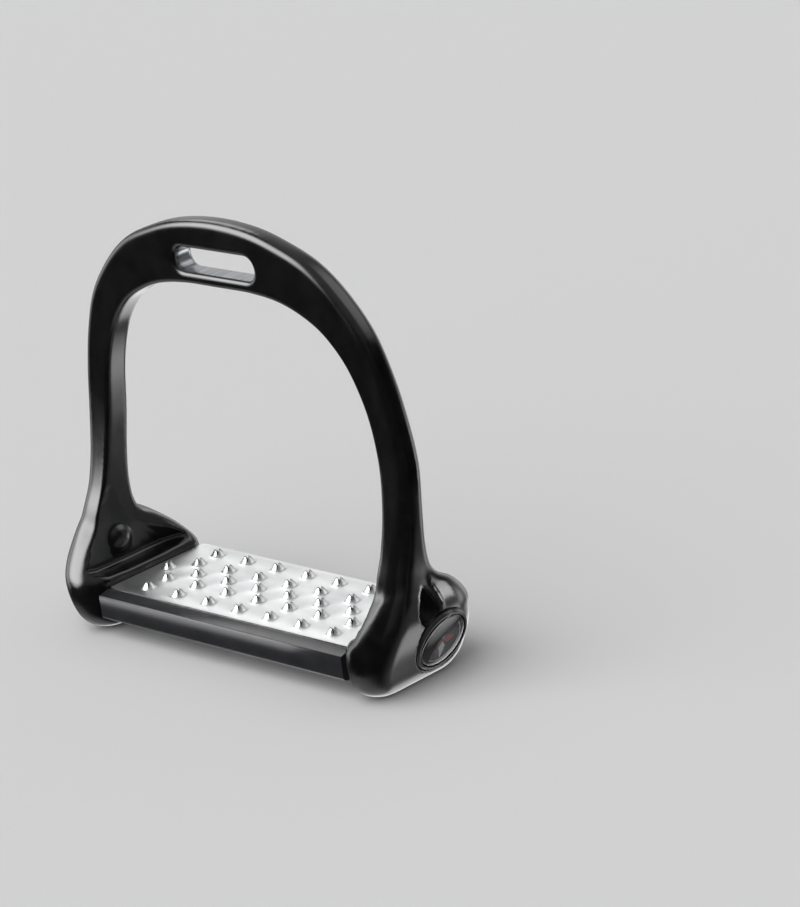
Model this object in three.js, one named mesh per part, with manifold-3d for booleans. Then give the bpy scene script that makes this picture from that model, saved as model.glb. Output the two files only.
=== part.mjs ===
// Stirrup iron: a cast frame (arch, branches and hubs), a bolted tread bar, a toothed tread plate
// on a rubber pad, and a domed badge over each hub bolt.
// Millimetres, +X along the tread, -Y towards the front, +Z up.
// The origin is under the middle of the tread, on the surface that the hubs rest on.
import * as THREE from 'three';
import { mergeVertices } from 'three/addons/utils/BufferGeometryUtils.js';
import Module from 'manifold-3d';

const wasm = await Module();
wasm.setup();

// Driving dimensions
const GAP = 0.3;                   // clearance between neighbouring pieces
const INSIDE_WIDTH = 120;          // between the hubs, the size an iron is sold by
const CREST_HEIGHT = 149.6;        // top of the arch
const INNER_CREST = 126.6;         // underside of the arch
const ARCH_THICKNESS = 9.4;        // front to back, in the arch
const ARCH_Y = 3.8;                // middle plane of the arch and of the tread plate
const HUB_HALF_DEPTH = 27.1;

const SLOT_WIDTH = 38.4;            // leather slot in the top bar
const SLOT_HEIGHT = 8.8;
const SLOT_Z = 135;
const SLOT_FRONT_CHAMFER = 1.2;
const SLOT_REAR_CHAMFER = 2.4;

const PLATE_TOP = 16.6;
const PLATE_THICKNESS = 1.5;
const PLATE_FRONT = -18.8;
const PLATE_REAR = 25.7;
const PAD_THICKNESS = 1;
const TOOTH_PITCH = 15.2;
const TOOTH_ROWS = [-16.4, -7.4, 0, 7.4, 16.4];   // from the middle of the plate
const TOOTH_HEIGHT = 2.2;
const TOOTH_RADIUS = 3;

const BAR_FRONT = -24.2;
const BAR_BOTTOM = 5;
const LIP_DROP = 1;                 // slope of the bar's top lip, in front of the plate

const POCKET = { y: -2.6, z: 28, width: 8, up: 7.8, down: 6.2, floorX: 75.4, depth: 7.4 };
const BOSS = { x: 68.8, y: -4.2, z: 27.8, rise: 3.2, radius: 5.2 };   // back of the pocket

const BADGE_CENTRE = new THREE.Vector3(78.2, 4.2, 14);
const BADGE_TILT = THREE.MathUtils.degToRad(24);  // how far the badge faces down
const BEZEL_RADIUS = 11.6;
const BEZEL_WIDTH = 1.3;
const BEZEL_HEIGHT = 1.6;
const RECESS_DEPTH = 1.2;

const BOLT_RADIUS = 2.5;
const BOLT_HEAD_RADIUS = 4.4;
const BOLT_HEAD_HEIGHT = 3;
const BOLT_LENGTH = 22;            // under the head
const BOLT_Z = 9.6;
const BOLT_Y = 4.2;
const BOLT_SEAT_X = 67.4;          // where the washer sits in the hub
const WASHER_THICKNESS = 1;
const WASHER_RADIUS = 4.9;

const SCREW_RADIUS = 1.5;
const SCREW_HEAD_RADIUS = 2.8;
const SCREW_HEAD_HEIGHT = 1.6;
const SCREW_X = [-44, 0, 44];
const SCREW_Y = [-10, 17];

const paint = new THREE.MeshStandardMaterial({ color: 0x141517, roughness: 0.28, metalness: 0.2 });
const barPaint = new THREE.MeshStandardMaterial({ color: 0x1a1b1d, roughness: 0.34, metalness: 0.2 });
const steel = new THREE.MeshStandardMaterial({ color: 0xd4d6d6, roughness: 0.3, metalness: 0.9 });
const zinc = new THREE.MeshStandardMaterial({ color: 0xa9abac, roughness: 0.4, metalness: 0.9 });
const rubber = new THREE.MeshStandardMaterial({ color: 0x17181a, roughness: 0.85, metalness: 0 });
const bezelMetal = new THREE.MeshStandardMaterial({ color: 0x2b2d31, roughness: 0.3, metalness: 0.7 });
const badgeFoil = new THREE.MeshStandardMaterial({ color: 0x23252b, roughness: 0.35, metalness: 0.3 });
const resin = new THREE.MeshStandardMaterial({ color: 0x3a3d42, roughness: 0.05, metalness: 0 });

const iron = new THREE.Group();

// Closed skin through rings that all have the same number of points, with a fan on each end.
function loft(rings) {
  const count = rings[0].length;
  const points = rings.flat();
  const faces = [];
  for (let ring = 0; ring < rings.length - 1; ring++) {
    for (let k = 0; k < count; k++) {
      const a = ring * count + k;
      const b = ring * count + (k + 1) % count;
      faces.push(a, b, b + count, a, b + count, a + count);
    }
  }
  for (const ring of [0, rings.length - 1]) {
    const middle = new THREE.Vector3();
    rings[ring].forEach((point) => middle.addScaledVector(point, 1 / count));
    const centre = points.push(middle) - 1;
    for (let k = 0; k < count; k++) {
      const a = ring * count + k;
      const b = ring * count + (k + 1) % count;
      faces.push(...(ring === 0 ? [centre, b, a] : [centre, a, b]));
    }
  }
  const geometry = new THREE.BufferGeometry().setFromPoints(points);
  geometry.setIndex(faces);
  return geometry;
}

// A geometry as a solid, turned outside out if its faces point in.
function solid(geometry, matrix) {
  const shape = geometry.clone();
  if (matrix) shape.applyMatrix4(matrix);
  shape.deleteAttribute('normal');
  shape.deleteAttribute('uv');
  const merged = mergeVertices(shape, 1e-4);
  const vertProperties = new Float32Array(merged.attributes.position.array);
  const triVerts = new Uint32Array(merged.index.array);
  const make = () => new wasm.Manifold(new wasm.Mesh({ numProp: 3, vertProperties, triVerts }));
  const made = make();
  if (made.volume() > 0) return made;
  for (let k = 0; k < triVerts.length; k += 3) {
    [triVerts[k], triVerts[k + 1]] = [triVerts[k + 1], triVerts[k]];
  }
  return make();
}

function add(name, body, material) {
  const mesh = body.getMesh();
  const geometry = new THREE.BufferGeometry();
  geometry.setAttribute('position', new THREE.BufferAttribute(new Float32Array(mesh.vertProperties), 3));
  geometry.setIndex(new THREE.BufferAttribute(new Uint32Array(mesh.triVerts), 1));
  geometry.computeVertexNormals();
  const part = new THREE.Mesh(geometry, material);
  part.name = name;
  iron.add(part);
}

const move = (x, y, z) => new THREE.Matrix4().makeTranslation(x, y, z);
const mirrorX = new THREE.Matrix4().makeScale(-1, 1, 1);

// A cylinder whose axis is along X, from x0 to x1.
function rodX(radius, x0, x1, y, z, sides = 20) {
  const rod = new THREE.CylinderGeometry(radius, radius, x1 - x0, sides);
  rod.rotateZ(-Math.PI / 2);
  return solid(rod, move((x0 + x1) / 2, y, z));
}

// A cylinder whose axis is along Z, from z0 to z1.
function rodZ(radius, z0, z1, x, y, sides = 14) {
  const rod = new THREE.CylinderGeometry(radius, radius, z1 - z0, sides);
  rod.rotateX(Math.PI / 2);
  return solid(rod, move(x, y, (z0 + z1) / 2));
}

// Stations up the right half of the frame, from the foot of the hub to the crest of the arch:
// inner edge x and z, outer edge x and z, front y, rear y, then the corner radii outer front,
// outer rear, inner rear and inner front.
const ARCH_FRONT = ARCH_Y - ARCH_THICKNESS / 2;
const ARCH_REAR = ARCH_Y + ARCH_THICKNESS / 2;
const ARCH_SECTION = [ARCH_FRONT, ARCH_REAR, 2.8, 4.4, 1.6, 1.6];
const STATIONS = [
  [64.0, 0.0, 70.2, 0.0, -13.0, 12.0, 3, 3, 3, 3],
  [61.8, 1.6, 72.2, 1.4, -20.5, 17.5, 5, 8, 4, 5],
  [60.5, 5.5, 74.8, 5.0, -25.0, 22.4, 7.4, 12, 5, 6.8],
  [60.0, 10.5, 77.3, 10.5, -26.8, 25.2, 8.8, 15, 5, 8.2],
  [60.0, 15.5, 79.5, 16.0, -HUB_HALF_DEPTH, 26.4, 10.2, 17, 5, 8.8],
  [60.4, 18.8, 80.8, 20.6, -26.2, 25.8, 10.8, 17, 5, 8.4],
  [63.0, 22.4, 81.6, 25.2, -23.4, 23.6, 10.4, 14.5, 4.4, 6.6],
  [65.6, 26.6, 81.4, 29.6, -20.1, 19.8, 9.4, 11.5, 3.6, 4.4],
  [66.8, 30.6, 80.5, 34.2, -16.6, 14.4, 7.8, 8, 2.8, 2.8],
  [67.3, 34.4, 79.9, 37.4, -13.8, 8.4, 6.8, 6, 2.2, 2.2],
  [67.5, 40.0, 79.4, 41.2, -11.6, 5.4, 6.2, 5, 1.8, 2],
  [67.6, 48.6, 78.9, 48.6, -7.8, 4.9, 5.6, 4.4, 1.6, 1.6],
  [67.2, 59.6, 78.5, 59.6, -4.6, 6.1, 4.8, 4.2, 1.6, 1.6],
  [66.1, 73.6, 77.8, 74.6, -2.0, 8.0, 3.8, 4.2, 1.6, 1.6],
  [63.9, 87.6, 75.5, 89.6, -1.1, 8.4, 3.0, 4.4, 1.6, 1.6],
  [60.4, 98.6, 71.5, 104.6, ...ARCH_SECTION],
  [55.4, 108.1, 65.4, 118.6, ...ARCH_SECTION],
  [47.6, 116.4, 55.5, 130.6, ...ARCH_SECTION],
  [38.6, 121.6, 44.5, 139.2, ...ARCH_SECTION],
  [28.4, 125.0, 32.0, 144.4, ...ARCH_SECTION],
  [16.0, 126.5, 17.6, 148.2, ...ARCH_SECTION],
  [0.0, INNER_CREST, 0.0, CREST_HEIGHT, ...ARCH_SECTION],
];

// One ring round the frame: a rectangle with four rounded corners.
function frameRing([innerX, innerZ, outerX, outerZ, front, rear, ...radii]) {
  const [outerFront, outerRear, innerRear, innerFront] = radii;
  const inner = new THREE.Vector3(innerX, 0, innerZ);
  const across = new THREE.Vector3(outerX, 0, outerZ).sub(inner);
  const thickness = across.length();
  across.normalize();
  const corners = [
    [thickness - outerRear, rear - outerRear, outerRear],
    [innerRear, rear - innerRear, innerRear],
    [innerFront, front + innerFront, innerFront],
    [thickness - outerFront, front + outerFront, outerFront],
  ];
  const ring = [];
  corners.forEach(([s, y, radius], quarter) => {
    for (let k = 0; k <= 4; k++) {
      const angle = (quarter + k / 4) * Math.PI / 2;
      const point = inner.clone().addScaledVector(across, s + radius * Math.cos(angle));
      ring.push(point.setY(y + radius * Math.sin(angle)));
    }
  });
  return ring;
}

// Catmull-Rom through the stations, a few steps between each pair, symmetrical over the crest.
function smoothStations(stations, steps) {
  const fine = [];
  const last = stations.length - 1;
  const beyond = stations[last - 1].map((value, j) => (j === 0 || j === 2 ? -value : value));
  const at = (k) => (k > last ? beyond : stations[Math.max(k, 0)]);
  for (let k = 0; k < last; k++) {
    for (let step = 0; step < steps; step++) {
      const t = step / steps;
      fine.push(at(k).map((value, j) => {
        const [a, b, c, d] = [at(k - 1)[j], value, at(k + 1)[j], at(k + 2)[j]];
        return 0.5 * (2 * b + (c - a) * t + (2 * a - 5 * b + 4 * c - d) * t * t
          + (3 * b - a - 3 * c + d) * t * t * t);
      }));
    }
  }
  fine.push(stations[last]);
  return fine;
}

function frameBlank() {
  const half = smoothStations(STATIONS, 2);
  const mirrored = half.slice(0, -1).map(([xi, zi, xo, zo, ...rest]) => [-xi, zi, -xo, zo, ...rest]);
  return solid(loft([...half, ...mirrored.reverse()].map(frameRing)));
}

// Slot cutter: a stadium that opens out at both faces.
function slotCutter() {
  const straight = (SLOT_WIDTH - SLOT_HEIGHT) / 2;
  const face = ARCH_THICKNESS / 2;
  const overrun = 2;
  const ring = (y, extra) => {
    const points = [];
    for (let k = 0; k < 20; k++) {
      const angle = (k + 0.5) / 20 * 2 * Math.PI;
      const x = Math.sign(Math.cos(angle)) * straight + Math.cos(angle) * (SLOT_HEIGHT / 2 + extra);
      points.push(new THREE.Vector3(x, ARCH_Y + y, SLOT_Z + Math.sin(angle) * (SLOT_HEIGHT / 2 + extra)));
    }
    return points;
  };
  return solid(loft([
    ring(-face - overrun, SLOT_FRONT_CHAMFER + overrun), ring(-face + SLOT_FRONT_CHAMFER, 0),
    ring(face - SLOT_REAR_CHAMFER, 0), ring(face + overrun, SLOT_REAR_CHAMFER + overrun),
  ]));
}

// Teardrop pocket on the outside of the hub, its point up under the branch.
function pocketCutter() {
  const drop = new THREE.SphereGeometry(1, 14, 10);
  const place = drop.attributes.position;
  for (let k = 0; k < place.count; k++) {
    const up = place.getZ(k);
    const above = Math.max(up, -0.2);
    const taper = ((1.02 - above) / (1.02 + above)) ** 0.36;
    const height = up * (up > 0 ? POCKET.up : POCKET.down);
    place.setXYZ(k, place.getX(k) * POCKET.depth, place.getY(k) * POCKET.width / 2 * taper, height);
  }
  return solid(drop, move(POCKET.floorX + POCKET.depth, POCKET.y, POCKET.z));
}

// Three-cornered hollow on the inside of the hub, above the tread and behind the front flange.
// It keeps its front and lower walls steep and runs out gently towards the rear and the top.
function hollowCutter() {
  const mouth = [
    [-25, 19.4], [-18.6, 29], [-13.8, 37], [-8.8, 46], [-4.6, 55], [-0.6, 55],
    [1.2, 43], [4.4, 36], [9.6, 31.6], [17, 26], [22, 19.4],
  ];
  const corner = [-19, 20.4];
  const ring = (x, scale) => mouth.map(([y, z]) => new THREE.Vector3(
    x, corner[0] + (y - corner[0]) * scale, corner[1] + (z - corner[1]) * scale,
  ));
  return solid(loft([ring(56, 1.06), ring(64.4, 1), ring(67, 0.88), ring(68.4, 0.7)]));
}

// Low round boss in that hollow: the back of the teardrop pocket.
function pocketBack() {
  const boss = new THREE.SphereGeometry(1, 18, 12);
  boss.scale(BOSS.rise, BOSS.radius, BOSS.radius);
  return solid(boss, move(BOSS.x, BOSS.y, BOSS.z));
}

// A lathe about the badge axis: profile points are radius and height above the badge face.
function badgeLathe(profile, sides = 32) {
  const turned = new THREE.LatheGeometry(profile.map(([r, h]) => new THREE.Vector2(r, h)), sides);
  turned.rotateZ(-Math.PI / 2);
  turned.rotateY(BADGE_TILT);
  return solid(turned, move(BADGE_CENTRE.x, BADGE_CENTRE.y, BADGE_CENTRE.z));
}

function arcProfile(radius, rise, steps) {
  const points = [];
  for (let k = 0; k <= steps; k++) {
    const r = radius * (1 - k / steps);
    points.push([r, rise * (1 - (r / radius) ** 2)]);
  }
  return points;
}

function arch() {
  let body = frameBlank().subtract(slotCutter());
  const boss = badgeLathe([[0, -7], [BEZEL_RADIUS - 2, -7], [BEZEL_RADIUS + 1.4, -1],
    [BEZEL_RADIUS + 0.9, 0], [0, 0]]);
  const recess = badgeLathe([[0, -RECESS_DEPTH], [BEZEL_RADIUS + GAP, -RECESS_DEPTH],
    [BEZEL_RADIUS + GAP, 4], [0, 4]]);
  const counterbore = rodX(WASHER_RADIUS + GAP, BOLT_SEAT_X, BADGE_CENTRE.x, BOLT_Y, BOLT_Z);
  const boltHole = rodX(BOLT_RADIUS + GAP, 55, BOLT_SEAT_X + 1, BOLT_Y, BOLT_Z);
  for (const side of [new THREE.Matrix4(), mirrorX]) {
    const turn = (piece) => piece.transform(side.elements);
    body = body.subtract(turn(hollowCutter())).add(turn(pocketBack())).add(turn(boss));
    body = body.subtract(turn(pocketCutter())).subtract(turn(recess));
    body = body.subtract(turn(counterbore)).subtract(turn(boltHole));
  }
  add('arch_frame', body, paint);
}

function extrudeAlongX(outline, length) {
  const shape = new THREE.Shape(outline.map(([y, z]) => new THREE.Vector2(y, z)));
  const bar = new THREE.ExtrudeGeometry(shape, { depth: length, bevelEnabled: false });
  bar.rotateY(Math.PI / 2);
  bar.rotateX(Math.PI / 2);
  return solid(bar, move(-length / 2, 0, 0));
}

function boxBetween(x0, x1, y0, y1, z0, z1) {
  const box = new THREE.BoxGeometry(x1 - x0, y1 - y0, z1 - z0);
  return solid(box, move((x0 + x1) / 2, (y0 + y1) / 2, (z0 + z1) / 2));
}

const PLATE_BOTTOM = PLATE_TOP - PLATE_THICKNESS;
const PAD_TOP = PLATE_BOTTOM - GAP;
const PAD_BOTTOM = PAD_TOP - PAD_THICKNESS;
const SEAT = PAD_BOTTOM - GAP;
const TREAD_HALF = INSIDE_WIDTH / 2 - GAP;
const SCREW_SEAT = BAR_BOTTOM + SCREW_HEAD_HEIGHT + 0.3;   // the heads sit just inside the bar

function treadBar() {
  const rim = PLATE_TOP - 0.2;
  const length = 2 * TREAD_HALF;
  const outline = [
    [BAR_FRONT + 6, BAR_BOTTOM], [PLATE_REAR - 9, BAR_BOTTOM],
    [PLATE_REAR - 4.2, BAR_BOTTOM + 0.8], [PLATE_REAR - 1.2, BAR_BOTTOM + 2.8],
    [PLATE_REAR, BAR_BOTTOM + 5.4], [PLATE_REAR, SEAT], [PLATE_FRONT - GAP, SEAT],
    [PLATE_FRONT - GAP, rim], [PLATE_FRONT - GAP - 0.5, rim],
    [BAR_FRONT + 0.7, rim - LIP_DROP], [BAR_FRONT, rim - LIP_DROP - 0.7], [BAR_FRONT, BAR_BOTTOM + 3.1],
    [BAR_FRONT + 0.4, BAR_BOTTOM + 2.2], [BAR_FRONT + 1.3, BAR_BOTTOM + 1.8],
  ];
  let bar = extrudeAlongX(outline, length);
  for (const x of SCREW_X) {
    for (const y of SCREW_Y) {
      bar = bar.subtract(rodZ(SCREW_HEAD_RADIUS + GAP, BAR_BOTTOM - 1, SCREW_SEAT + GAP, x, y));
      bar = bar.subtract(rodZ(SCREW_RADIUS + GAP, BAR_BOTTOM, SEAT + 1, x, y));
    }
  }
  const tapped = BOLT_SEAT_X + WASHER_THICKNESS + GAP - BOLT_LENGTH - 1.5;   // end of the bolt hole
  bar = bar.subtract(rodX(BOLT_RADIUS + GAP, tapped, TREAD_HALF + 1, BOLT_Y, BOLT_Z));
  bar = bar.subtract(rodX(BOLT_RADIUS + GAP, -TREAD_HALF - 1, -tapped, BOLT_Y, BOLT_Z));
  add('tread_bar', bar, barPaint);
}

// Four-sided hollow-tipped tooth: a pyramid with its corners pinched in.
function tooth(x, y) {
  const ring = (radius, pinch, z) => {
    const points = [];
    for (let k = 0; k < 8; k++) {
      const angle = (k + 0.5) / 8 * 2 * Math.PI;
      const r = radius * (k % 2 ? pinch : 1);
      points.push(new THREE.Vector3(x + r * Math.cos(angle), y + r * Math.sin(angle), z));
    }
    return points;
  };
  return solid(loft([
    ring(TOOTH_RADIUS, 1, PLATE_TOP - 0.5), ring(TOOTH_RADIUS, 1, PLATE_TOP),
    ring(1, 0.7, PLATE_TOP + TOOTH_HEIGHT),
  ]));
}

function treadPlate() {
  let plate = boxBetween(-TREAD_HALF, TREAD_HALF, PLATE_FRONT, PLATE_REAR, PLATE_BOTTOM, PLATE_TOP);
  const middle = (PLATE_FRONT + PLATE_REAR) / 2;
  TOOTH_ROWS.forEach((row, index) => {
    const staggered = index === 2;
    const count = staggered ? 8 : 7;
    for (let k = 0; k < count; k++) {
      plate = plate.add(tooth((k - (count - 1) / 2) * TOOTH_PITCH, middle + row));
    }
  });
  add('tread_plate', plate, steel);
}

function treadPad() {
  const half = TREAD_HALF - 1;
  let pad = boxBetween(-half, half, PLATE_FRONT + 0.6, PLATE_REAR - 0.6, PAD_BOTTOM, PAD_TOP);
  for (const x of SCREW_X) {
    for (const y of SCREW_Y) {
      pad = pad.subtract(rodZ(SCREW_RADIUS + GAP, PAD_BOTTOM - 1, PAD_TOP + 1, x, y));
    }
  }
  add('tread_pad', pad, rubber);
}

function plateScrews() {
  let number = 1;
  for (const y of SCREW_Y) {
    for (const x of SCREW_X) {
      const head = rodZ(SCREW_HEAD_RADIUS, SCREW_SEAT - SCREW_HEAD_HEIGHT, SCREW_SEAT, x, y);
      const shank = rodZ(SCREW_RADIUS, SCREW_SEAT - 0.2, PLATE_BOTTOM - GAP, x, y);
      const socket = rodZ(1.3, SCREW_SEAT - SCREW_HEAD_HEIGHT - 1, SCREW_SEAT - 0.7, x, y, 6);
      add(`plate_screw_${number}`, head.add(shank).subtract(socket), zinc);
      number += 1;
    }
  }
}

// Pieces at one hub, built on the right and mirrored for the left.
function hubPieces(side, flip) {
  const place = (name, piece, material) => {
    add(`${name}_${side}`, flip ? piece.transform(mirrorX.elements) : piece, material);
  };
  const washerX = BOLT_SEAT_X + GAP;
  const washer = rodX(WASHER_RADIUS, washerX, washerX + WASHER_THICKNESS, BOLT_Y, BOLT_Z, 24)
    .subtract(rodX(BOLT_RADIUS + GAP, washerX - 1, washerX + 2, BOLT_Y, BOLT_Z));
  place('hub_washer', washer, zinc);

  const headX = washerX + WASHER_THICKNESS + GAP;
  const socket = rodX(2, headX + 1.2, headX + BOLT_HEAD_HEIGHT + 1, BOLT_Y, BOLT_Z, 6);
  const bolt = rodX(BOLT_HEAD_RADIUS, headX, headX + BOLT_HEAD_HEIGHT, BOLT_Y, BOLT_Z, 24)
    .add(rodX(BOLT_RADIUS, headX - BOLT_LENGTH, headX + 1, BOLT_Y, BOLT_Z))
    .subtract(socket);
  place('hub_bolt', bolt, zinc);

  const floor = GAP - RECESS_DEPTH;
  const rim = BEZEL_HEIGHT + floor;
  const inner = BEZEL_RADIUS - BEZEL_WIDTH;
  const bezel = badgeLathe([
    [inner, floor], [BEZEL_RADIUS, floor], [BEZEL_RADIUS, rim - 0.6], [BEZEL_RADIUS - 0.5, rim],
    [inner + 0.4, rim], [inner, rim - 0.4], [inner, floor],
  ]);
  place('badge_bezel', bezel, bezelMetal);

  const face = floor + 0.8;
  const discRadius = inner - GAP;
  const disc = badgeLathe([[0, floor], [discRadius, floor], [discRadius, face], [0, face]]);
  place('badge_disc', disc, badgeFoil);

  const lens = arcProfile(discRadius - 0.2, 0.9, 4).map(([r, h]) => [r, h + face + GAP + 0.2]);
  const dome = badgeLathe([[0, face + GAP], [discRadius - 0.2, face + GAP], ...lens]);
  place('badge_dome', dome, resin);
}

arch();
treadBar();
treadPlate();
treadPad();
plateScrews();
hubPieces('right', false);
hubPieces('left', true);

export default iron;
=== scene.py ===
"""The looks of the stirrup iron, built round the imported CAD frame.

Blender works in metres in the CAD's frame: +X along the tread, -Y to the front, +Z up.
Sizes below are in millimetres, and mm() turns points into metres.
"""

import math

import bmesh
import bpy
import numpy as np
from mathutils import Matrix, Vector

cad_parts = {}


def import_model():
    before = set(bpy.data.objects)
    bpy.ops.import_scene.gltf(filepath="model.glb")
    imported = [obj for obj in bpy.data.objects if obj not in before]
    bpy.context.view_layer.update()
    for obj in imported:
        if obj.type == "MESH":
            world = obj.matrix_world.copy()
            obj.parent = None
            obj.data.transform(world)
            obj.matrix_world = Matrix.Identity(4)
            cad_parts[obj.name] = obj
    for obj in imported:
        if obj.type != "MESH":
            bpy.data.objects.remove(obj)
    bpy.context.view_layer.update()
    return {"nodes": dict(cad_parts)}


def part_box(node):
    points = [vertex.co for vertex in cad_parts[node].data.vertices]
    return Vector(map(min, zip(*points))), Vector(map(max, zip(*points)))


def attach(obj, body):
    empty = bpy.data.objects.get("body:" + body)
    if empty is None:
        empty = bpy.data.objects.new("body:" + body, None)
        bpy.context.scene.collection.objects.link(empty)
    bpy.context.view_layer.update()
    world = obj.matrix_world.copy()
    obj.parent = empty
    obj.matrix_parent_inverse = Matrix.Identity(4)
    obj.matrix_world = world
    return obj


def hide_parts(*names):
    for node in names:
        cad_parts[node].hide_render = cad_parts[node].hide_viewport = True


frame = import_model()

# Driving dimensions, the CAD's own except where a comment says otherwise
GAP = 0.3
CREST_HEIGHT = 149.6
INNER_CREST = 126.6
ARCH_THICKNESS = 9.4
ARCH_Y = 3.8
ARCH_FRONT = ARCH_Y - ARCH_THICKNESS / 2
ARCH_REAR = ARCH_Y + ARCH_THICKNESS / 2
HUB_HALF_DEPTH = 27.1

SLOT_WIDTH = 38.4
SLOT_HEIGHT = 8.4                               # the CAD's is 8.8, with smaller lips
SLOT_Z = 135

TOOTH_HEIGHT = 2.2
TOOTH_PITCH = 15.2
TOOTH_ROWS = (-16.4, -7.4, 0, 7.4, 16.4)
SHEET = 0.55                                    # thickness of the pierced sheet

BADGE_CENTRE = Vector((78.2, 4.2, 14))
BADGE_TILT = math.radians(24)
BEZEL_RADIUS = 11.6
BEZEL_WIDTH = 1.3
BEZEL_HEIGHT = 1.6
RECESS_DEPTH = 1.2
BADGE_FLOOR = GAP - RECESS_DEPTH                # where bezel and disc sit, along the badge's axis
DISC_RADIUS = BEZEL_RADIUS - BEZEL_WIDTH - GAP

BOLT_Y = 4.2
BOLT_Z = 9.6
BOLT_SEAT_X = 67.4
BOLT_LENGTH = 22
BOLT_RADIUS = 2.5
BOLT_HEAD_RADIUS = 4.4
BOLT_HEAD_HEIGHT = 3
WASHER_RADIUS = 4.9
WASHER_THICKNESS = 1

SCREW_RADIUS = 1.5
SCREW_HEAD_HEIGHT = 1.6

POCKET_Y = -2.6                                 # middle of the teardrop pocket
POCKET_Z = 28
POCKET_FLOOR_X = 75.4
POCKET_DEPTH = 7.4
BOSS_CENTRE = (68.8, -4.2, 27.8)                # the pocket's back, in the hollow
BOSS_SIZE = (3.2, 5.2, 5.2)                     # half sizes along x, y and z

VOXEL = 0.57                                    # mesh size of the cast frame
SLIT_DEPTH = 0.62                               # how far the slits cut into a tooth, 0 to 1

MIRROR = Matrix.Scale(-1, 4, (1, 0, 0))
ALONG_X = Matrix.Rotation(math.pi / 2, 4, "Y")  # turns +Z to +X


def mm(points):
    return np.asarray(points, float) / 1000


def node_box(name):
    """Lowest and highest corner of a CAD node, in millimetres."""
    low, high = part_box(name)
    return low * 1000, high * 1000


def middle_of(low, high):
    """Middle x and y of a box."""
    return (low.x + high.x) / 2, (low.y + high.y) / 2


# ---------------------------------------------------------------- mesh helpers

def linked(name, data):
    """An object with that data, put into the scene."""
    obj = bpy.data.objects.new(name, data)
    bpy.context.scene.collection.objects.link(obj)
    return obj


def mesh_object(name, verts, faces):
    """An object from points in millimetres."""
    mesh = bpy.data.meshes.new(name)
    mesh.from_pydata(mm(verts).tolist(), [], [tuple(int(k) for k in face) for face in faces])
    mesh.validate()
    return linked(name, mesh)


def rectangle(name, half_x, half_y, z):
    """A flat rectangle that faces up."""
    corners = [(-half_x, -half_y, z), (half_x, -half_y, z), (half_x, half_y, z), (-half_x, half_y, z)]
    return mesh_object(name, corners, [(0, 1, 2, 3)])


def loft(name, rings):
    """A closed skin through rings that all have the same number of points."""
    rings = np.asarray(rings, float)
    count = rings.shape[1]
    faces = []
    for ring in range(len(rings) - 1):
        for k in range(count):
            a = ring * count + k
            b = ring * count + (k + 1) % count
            faces.append((a, b, b + count, a + count))
    faces.append(tuple(range(count))[::-1])
    faces.append(tuple(range((len(rings) - 1) * count, len(rings) * count)))
    return outward(mesh_object(name, rings.reshape(-1, 3), faces))


def lathe(name, profile, sides=96, sharp=30):
    """A solid turned about +Z. The profile's points are (radius, height), and it runs from the
    axis to the axis, or round a loop back to its first point."""
    profile = [(round(radius, 6), height) for radius, height in profile]
    verts, rows = [], []
    for radius, height in profile:
        rows.append(len(verts))
        for k in range(sides if radius > 0 else 1):
            angle = 2 * math.pi * k / sides
            verts.append((radius * math.cos(angle), radius * math.sin(angle), height))
    faces = []
    closed = profile[0] == profile[-1]
    for i in range(len(profile) - 1):
        a, b = rows[i], rows[0] if closed and i == len(profile) - 2 else rows[i + 1]
        for k in range(sides):
            n = (k + 1) % sides
            low = (a, a) if profile[i][0] == 0 else (a + k, a + n)
            high = (b, b) if profile[i + 1][0] == 0 else (b + k, b + n)
            faces.append(tuple(dict.fromkeys((low[0], low[1], high[1], high[0]))))
    obj = outward(mesh_object(name, verts, faces))
    clean(obj)
    return shade(obj, sharp)


def clean(obj):
    """Removes the points that no face uses."""
    bm = bmesh.new()
    bm.from_mesh(obj.data)
    loose = [v for v in bm.verts if not v.link_faces]
    bmesh.ops.delete(bm, geom=loose, context="VERTS")
    bm.to_mesh(obj.data)
    bm.free()


def outward(obj):
    """Turns every face outwards."""
    bm = bmesh.new()
    bm.from_mesh(obj.data)
    bmesh.ops.recalc_face_normals(bm, faces=bm.faces)
    bm.to_mesh(obj.data)
    bm.free()
    return obj


def shade(obj, sharp=30):
    """Smooth shading, with hard edges where faces meet at more than sharp degrees."""
    bm = bmesh.new()
    bm.from_mesh(obj.data)
    for face in bm.faces:
        face.smooth = True
    for edge in bm.edges:
        edge.smooth = len(edge.link_faces) == 2 and edge.calc_face_angle(0) < math.radians(sharp)
    bm.to_mesh(obj.data)
    bm.free()
    return obj


def turned(obj, matrix):
    """Moves the mesh itself, with the matrix's translation in millimetres."""
    matrix = matrix.copy()
    matrix.translation = matrix.translation / 1000
    obj.data.transform(matrix)
    if matrix.determinant() < 0:
        obj.data.flip_normals()
    return obj


def joined(name, objs):
    """One object that holds the meshes of several."""
    verts, faces, marks = [], [], []
    for obj in objs:
        start = len(verts)
        verts.extend(tuple(v.co * 1000) for v in obj.data.vertices)
        faces.extend(tuple(start + k for k in face.vertices) for face in obj.data.polygons)
        marks.extend(face.use_smooth for face in obj.data.polygons)
        bpy.data.objects.remove(obj)
    whole = mesh_object(name, verts, faces)
    whole.data.polygons.foreach_set("use_smooth", marks)
    return whole


def with_modifiers(obj):
    """Turns the object's modifiers into mesh."""
    bpy.context.view_layer.update()
    finished = obj.evaluated_get(bpy.context.evaluated_depsgraph_get())
    mesh = bpy.data.meshes.new_from_object(finished)
    obj.modifiers.clear()
    obj.data = mesh
    return obj


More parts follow.
